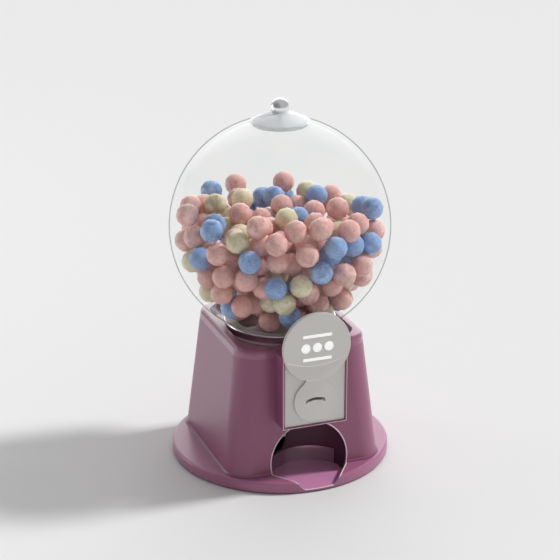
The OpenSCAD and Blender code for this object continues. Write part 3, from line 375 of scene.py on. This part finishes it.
CAD_FINISH = {
    "flange_ring": flange_abs_painted_light, "tower_walls": body_abs, "tower_crown": crown_abs_painted_light, "front_boss": body_abs,
    "screw_posts": body_abs, "base_plate": dark_ps, "rubber_feet": rubber, "base_screws": zinc,
    "front_panel": grey_lacquer, "sign_bracket": steel, "sign_disc": grey_lacquer, "sign_badge": grey_lacquer,
    "sign_motif": white_ink, "sign_rivets": zinc, "hopper_pan": nylon, "drop_guard": steel,
    "globe_gasket": silicone, "neck_ring": chrome, "globe": acrylic, "spindle_bracket": steel,
    "drop_chute": nylon, "niche_liner": liner_abs_painted_shade, "tray_floor": tray_pp, "tray_band": strip,
    "coin_slide": steel, "coin_box": dark_ps, "turn_key": grey_lacquer, "coin_carrier": nylon,
    "spindle": steel, "spindle_collar": zinc, "pinion": brass, "return_spring": steel,
    "pocket_wheel": nylon, "crown_gear": brass, "stirring_cone": nylon, "wheel_bolt": zinc,
    "lid_cap": smoky, "lid_ball": chrome, "lid_stud": zinc, "lid_clamp": smoky, "lid_nut": zinc,
    "lid_seal": silicone, "capsules_pink": pink_shell, "capsules_blue": blue_shell, "capsules_cream": cream_shell,
}
for name, mat in CAD_FINISH.items():
    nodes[name].data.materials.clear()
    nodes[name].data.materials.append(mat)


# ---------------------------------------------------------------- globe and lid

def globe_bowl():
    """The clear globe, with rolled edges at the neck and at the filling hole."""
    inner = GLOBE_R - GLOBE_WALL
    low_out = math.degrees(math.asin((GLOBE_LOW_Z - GLOBE_Z) / GLOBE_R))
    low_in = math.degrees(math.asin((GLOBE_LOW_Z - GLOBE_Z) / inner))
    top_out = math.degrees(math.acos((FILL_R + 0.4) / GLOBE_R))
    top_in = math.degrees(math.acos((FILL_R + 0.4) / inner))
    outer_line = arc(0, GLOBE_Z, GLOBE_R - 0.02, low_out + 0.3, top_out, 72)
    inner_line = arc(0, GLOBE_Z, inner, top_in, low_in + 0.3, 72)
    rim = [(FILL_R + 0.05, outer_line[-1][1] - 0.8), (FILL_R + 0.05, inner_line[0][1] + 0.8)]
    foot = [(inner_line[-1][0] + 0.6, GLOBE_LOW_Z + 0.02), (outer_line[0][0] - 0.6, GLOBE_LOW_Z + 0.02)]
    return turned("globe_bowl", outer_line + rim + inner_line + foot, steps=160)


def lid_dome():
    """The lid's lens: a rounded rim, a bell that rises to the knob, and a hollow that seats the ball."""
    rise = DOME_FLAT_Z - LID_LOW_Z - 1.2
    bell = []
    for i in range(25):
        t = i / 24
        r = LID_R - 0.5 - (LID_R - 0.5 - DOME_FLAT_R) * t
        bell.append((r, LID_LOW_Z + 1.2 + rise * (1.3 * t - 0.3 * t * t)))
    rim = [(LID_R - 0.3, LID_LOW_Z), (LID_R, LID_LOW_Z + 0.3), (LID_R, LID_LOW_Z + 0.8)]
    seat = [(DOME_FLAT_R - 1.5, DOME_FLAT_Z - 1.4), (STUD_R + 0.02, DOME_FLAT_Z - 2.0)]
    return turned("lid_dome", [(STUD_R + 0.02, LID_LOW_Z)] + rim + bell + seat, steps=96)


def knob():
    """The polished ball, with the short shank it is screwed on by."""
    ball = arc(0, BALL_Z, BALL_R - 0.01, -72, 90, 40)
    return turned("lid_knob", [(STUD_R + 0.02, BALL_Z - 9.6)] + ball[:-1] + [(0.0, BALL_Z + BALL_R - 0.01)]
                  + [(0.0, BALL_Z + 6.0), (STUD_R + 0.02, BALL_Z + 6.0)], steps=64, closed=True)


finish(globe_bowl(), acrylic, "housing", replaces=["globe"])
finish(lid_dome(), smoky, "lid", replaces=["lid_cap"])
finish(knob(), chrome, "lid", replaces=["lid_ball"])


# ---------------------------------------------------------------- capsules

def centres(node):
    """Centre of each separate ball in a CAD node, in metres."""
    bm = bmesh.new()
    bm.from_mesh(nodes[node].data)
    bmesh.ops.remove_doubles(bm, verts=bm.verts, dist=1e-6)
    seen, found = set(), []
    for start in bm.verts:
        if start in seen:
            continue
        seen.add(start)
        front, group = [start], []
        while front:
            v = front.pop()
            group.append(v.co)
            for e in v.link_edges:
                w = e.other_vert(v)
                if w not in seen:
                    seen.add(w)
                    front.append(w)
        low = [min(c[k] for c in group) for k in range(3)]
        high = [max(c[k] for c in group) for k in range(3)]
        found.append(Vector([(a + b) / 2 for a, b in zip(low, high)]))
    bm.free()
    return found


def capsules(name, node, mat, seed):
    """A heap of one colour: a few dozen faces each, turned at random, each with its own shade."""
    rng = random.Random(seed)
    bm = bmesh.new()
    shades, middles = [], []
    for c in centres(node):
        turn = Euler([rng.uniform(0, math.tau) for _ in range(3)]).to_matrix().to_4x4()
        made = bmesh.ops.create_icosphere(bm, subdivisions=2, radius=CAPSULE_R * 1.006,
                                          matrix=Matrix.Translation(c * 1000) @ turn)
        shades += [rng.uniform(0.35, 1.0)] * len(made["verts"])
        middles += list(c) * len(made["verts"])
    bm.verts.ensure_lookup_table()
    bmesh.ops.scale(bm, vec=(MM, MM, MM), verts=bm.verts)
    mesh = bpy.data.meshes.new(name)
    bm.to_mesh(mesh)
    bm.free()
    layer = mesh.attributes.new("shade", "FLOAT", "POINT")
    layer.data.foreach_set("value", shades)
    layer = mesh.attributes.new("middle", "FLOAT_VECTOR", "POINT")
    layer.data.foreach_set("vector", middles)
    mesh.shade_smooth()
    obj = bpy.data.objects.new(name, mesh)
    bpy.context.collection.objects.link(obj)
    return finish(obj, mat, "housing", replaces=[node])


capsules("heap_pink", "capsules_pink", pink_shell, 3)
capsules("heap_blue", "capsules_blue", blue_shell, 4)
capsules("heap_cream", "capsules_cream", cream_shell, 5)


# ---------------------------------------------------------------- edge beads

def front_y(z):
    """Distance of the tower's front from the centre at a height."""
    return TOWER_HD + (CROWN_HD - TOWER_HD) * (z - FLANGE_TOP_Z) / (CROWN_LOW_Z - FLANGE_TOP_Z)


def spout_r(y):
    return MOUTH_R + (SPOUT_R - MOUTH_R) * (y - SPOUT_Y) / SPOUT_LEN


def mouth_line():
    """Edge of the mouth: over the arch, then out along the spout and across its lip."""
    side = []
    start = math.degrees(math.asin((FLANGE_TOP_Z - MOUTH_Z) / MOUTH_R))
    for x, z in arc(0, MOUTH_Z, MOUTH_R, 90, start, 40):
        side.append((x, -front_y(z), z))
    reach = FLANGE_R - FLANGE_EDGE_R
    y = front_y(FLANGE_TOP_Z) + 1.0
    drop = FLANGE_TOP_Z - MOUTH_Z
    while True:
        x = math.sqrt(spout_r(max(y, SPOUT_Y)) ** 2 - drop ** 2)
        if math.hypot(x, y) > reach:
            break
        side.append((x, -y, FLANGE_TOP_Z))
        y += 0.8
    for i in range(1, 19):
        z = FLANGE_TOP_Z - (FLANGE_TOP_Z - FLOOR_Z - 0.4) * i / 18
        over = max(0.0, FLANGE_EDGE_R - (FLANGE_TOP_Z - z))
        rim = FLANGE_R - FLANGE_EDGE_R - BEAD_R + math.sqrt(max(FLANGE_EDGE_R ** 2 - over ** 2, 0.0))
        y = math.sqrt(rim ** 2 - 20 ** 2)
        for _ in range(8):
            x = math.sqrt(max(spout_r(y) ** 2 - (z - MOUTH_Z) ** 2, 0.0))
            y = math.sqrt(rim ** 2 - x ** 2)
        side.append((x, -y, z))
    lip = side[-1]
    rim = math.hypot(lip[0], lip[1])
    across = [(lip[0] * k / 10, -math.sqrt(rim ** 2 - (lip[0] * k / 10) ** 2), lip[2]) for k in range(9, 0, -1)]
    half = side + across
    return half + [(0.0, -rim, lip[2])] + [(-x, y, z) for x, y, z in reversed(half[1:])]


def run_along(bm, edges, shift):
    """Extrudes a profile straight along a shift."""
    made = bmesh.ops.extrude_edge_only(bm, edges=edges)["geom"]
    bmesh.ops.translate(bm, vec=shift, verts=[g for g in made if isinstance(g, bmesh.types.BMVert)])
    return [g for g in made if isinstance(g, bmesh.types.BMEdge)]


def turn_corner(bm, edges, centre):
    """Spins a profile a quarter turn round an upright corner."""
    verts = list({v for e in edges for v in e.verts})
    made = bmesh.ops.spin(bm, geom=verts + list(edges), cent=centre, axis=(0, 0, 1), angle=-math.pi / 2, steps=12)
    return [g for g in made["geom_last"] if isinstance(g, bmesh.types.BMEdge)]


def flange_fillet():
    """Hollow round that blends the tower's foot into the flange, from one side of the mouth to the other."""
    start_x = math.sqrt(MOUTH_R ** 2 - (MOUTH_Z - FLANGE_TOP_Z) ** 2) + 1.2
    hw, hd = TOWER_HW, TOWER_HD
    bm = bmesh.new()
    hollow = [(FILLET_R - FILLET_R * math.sin(math.radians(a)), FILLET_R - FILLET_R * math.cos(math.radians(a)))
              for a in range(0, 91, 15)]
    line = [(-0.8, 0.0)] + hollow + [(-0.8, FILLET_R)]
    verts = [bm.verts.new((-start_x, -hd - out + 0.08 * up, FLANGE_TOP_Z + up + 0.01)) for out, up in line]
    edges = [bm.edges.new(pair) for pair in zip(verts, verts[1:] + verts[:1])]
    bmesh.ops.contextual_create(bm, geom=edges)
    c = CORNER_R
    edges = run_along(bm, edges, (-(hw - c - start_x), 0, 0))
    edges = turn_corner(bm, edges, (-hw + c, -hd + c, 0))
    edges = run_along(bm, edges, (0, 2 * (hd - c), 0))
    edges = turn_corner(bm, edges, (-hw + c, hd - c, 0))
    edges = run_along(bm, edges, (2 * (hw - c), 0, 0))
    edges = turn_corner(bm, edges, (hw - c, hd - c, 0))
    edges = run_along(bm, edges, (0, -2 * (hd - c), 0))
    edges = turn_corner(bm, edges, (hw - c, -hd + c, 0))
    edges = run_along(bm, edges, (-(hw - c - start_x), 0, 0))
    bmesh.ops.contextual_create(bm, geom=edges)
    return to_object(bm, "flange_fillet")


def band_line():
    """Rolled upper edge of the metal band at the back of the tray."""
    r = BAND_R - 0.6
    z = high_mm("tray_band")[2] - 0.35
    middle_y = high_mm("tray_band")[1] - BAND_R
    half = math.asin(high_mm("tray_band")[0] / BAND_R)
    return [(r * math.sin(t), middle_y + r * math.cos(t), z) for t in (half * (i / 24 - 1) for i in range(49))]


def boss_line():
    """Front edge of the boss, once round."""
    x, y = high_mm("front_boss")[0] - 0.2, low_mm("front_boss")[1] + 0.25
    z0, z1 = low_mm("front_boss")[2] + 0.2, high_mm("front_boss")[2] - 0.2
    return [(-x, y, z0), (x, y, z0), (x, y, z1), (-x, y, z1)]


def sign_line(r, y, z, half_angle, sink=0.0):
    """Lower arc of the sign's edge, or of its raised part, in front of the plate."""
    return [(r * math.sin(t), y + sink, z - r * math.cos(t))
            for t in (math.radians(-half_angle + 2 * half_angle * i / 48) for i in range(49))]


finish(flange_fillet(), body_abs, "housing")
# pale bead round the mouth: a painted highlight on that edge
finish(wire("mouth_bead_painted_highlight", mouth_line(), BEAD_R, cyclic=True), edge_abs_painted_highlight, "housing")
finish(wire("band_bead", band_line(), 0.4), strip, "housing")
# pale bead round the boss's front: a painted highlight on that edge
finish(wire("boss_bead_painted_highlight", boss_line(), 0.5, cyclic=True), edge_abs_painted_highlight, "housing")
# pale beads along the lower arcs of the sign and of its raised part: painted highlights on those edges
finish(wire("sign_bead_painted_highlight", sign_line(SIGN_R - 0.1, SIGN_FRONT_Y, SIGN_Z, 74), 0.35), lacquer_painted_highlight,
       "housing")
finish(wire("badge_bead_painted_highlight", sign_line(SIGN_ARC_R - 0.1, BADGE_FRONT_Y, SIGN_ARC_Z + SIGN_ARC_R, SIGN_ARC_HALF), 0.35),
       lacquer_painted_highlight, "housing")


# ---------------------------------------------------------------- stage, light and camera

SURROUND = 0.46
BACK_GLOW = 1.5
SIDE_SHADE = 0.55


def lamp(name, size, energy, place, target, colour=(1, 1, 1)):
    light = bpy.data.lights.new(name, "AREA")
    light.shape = "DISK"
    light.size = size
    light.energy = energy
    light.color = colour
    obj = bpy.data.objects.new(name, light)
    bpy.context.collection.objects.link(obj)
    obj.location = place
    obj.rotation_euler = (Vector(target) - Vector(place)).to_track_quat("-Z", "Y").to_euler()
    return obj


floor_bm = bmesh.new()
bmesh.ops.create_grid(floor_bm, x_segments=2, y_segments=2, size=9000)
floor = to_object(floor_bm, "floor")
floor_mat, floor_tree, floor_out = blank("paper_backdrop_white")
floor_skin = add(floor_tree, "ShaderNodeBsdfPrincipled",
                 {"Base Color": linear("#E1E1E1"), "Roughness": 0.9, "Specular IOR Level": 0.0})
floor_tree.links.new(floor_skin.outputs["BSDF"], floor_out.inputs["Surface"])
floor.data.materials.append(floor_mat)

# even surround, with a broad glow low down behind the machine that lies along its level faces
world = bpy.data.worlds.new("studio")
world.use_nodes = True
sky = world.node_tree
ray = add(sky, "ShaderNodeTexCoord").outputs["Generated"]
toward = add(sky, "ShaderNodeVectorMath", {0: ray, 1: (0.33, 0.87, 0.36)}, operation="DOT_PRODUCT")
glow = add(sky, "ShaderNodeMapRange", {"Value": toward.outputs["Value"], "From Min": 0.72, "From Max": 0.97,
                                       "To Min": SURROUND, "To Max": SURROUND + BACK_GLOW},
           interpolation_type="SMOOTHSTEP")
aside = add(sky, "ShaderNodeVectorMath", {0: ray, 1: (-0.95, -0.31, 0.0)}, operation="DOT_PRODUCT")
shade = add(sky, "ShaderNodeMapRange", {"Value": aside.outputs["Value"], "From Min": 0.2, "From Max": 0.9,
                                        "To Min": 1.0, "To Max": 1.0 - SIDE_SHADE}, interpolation_type="SMOOTHSTEP")
level = add(sky, "ShaderNodeMath", {0: glow.outputs["Result"], 1: shade.outputs["Result"]}, operation="MULTIPLY")
sky.nodes["Background"].inputs["Color"].default_value = (1.0, 1.0, 1.0, 1.0)
sky.links.new(level.outputs[0], sky.nodes["Background"].inputs["Strength"])
bpy.context.scene.world = world
bpy.context.scene.view_settings.view_transform = "Standard"

key = bpy.data.lights.new("key", "SUN")
key.energy = 2.3
key.angle = math.radians(9)
key_lamp = bpy.data.objects.new("key", key)
bpy.context.collection.objects.link(key_lamp)
key_lamp.visible_glossy = False
key_lamp.rotation_euler = Vector((-1.0, 0.08, -1.0)).to_track_quat("-Z", "Y").to_euler()
lamp("fill_left", 0.8, 5.5, (-1.6, 1.25, 0.35), (0.0, 0.0, 0.12))

azimuth = math.radians(-20.6)
camera_data = bpy.data.cameras.new("camera")
camera_data.lens = 1706.0 / 560.0 * 36.0
camera_data.sensor_width = 36.0
camera = bpy.data.objects.new("camera", camera_data)
bpy.context.collection.objects.link(camera)
camera.location = (math.sin(azimuth) * 1.748, -math.cos(azimuth) * 1.748, 0.848)
pitch = math.radians(20.36)
ahead = Vector((-math.sin(azimuth) * math.cos(pitch), math.cos(azimuth) * math.cos(pitch), -math.sin(pitch)))
camera.rotation_euler = ahead.to_track_quat("-Z", "Y").to_euler()
bpy.context.scene.camera = camera
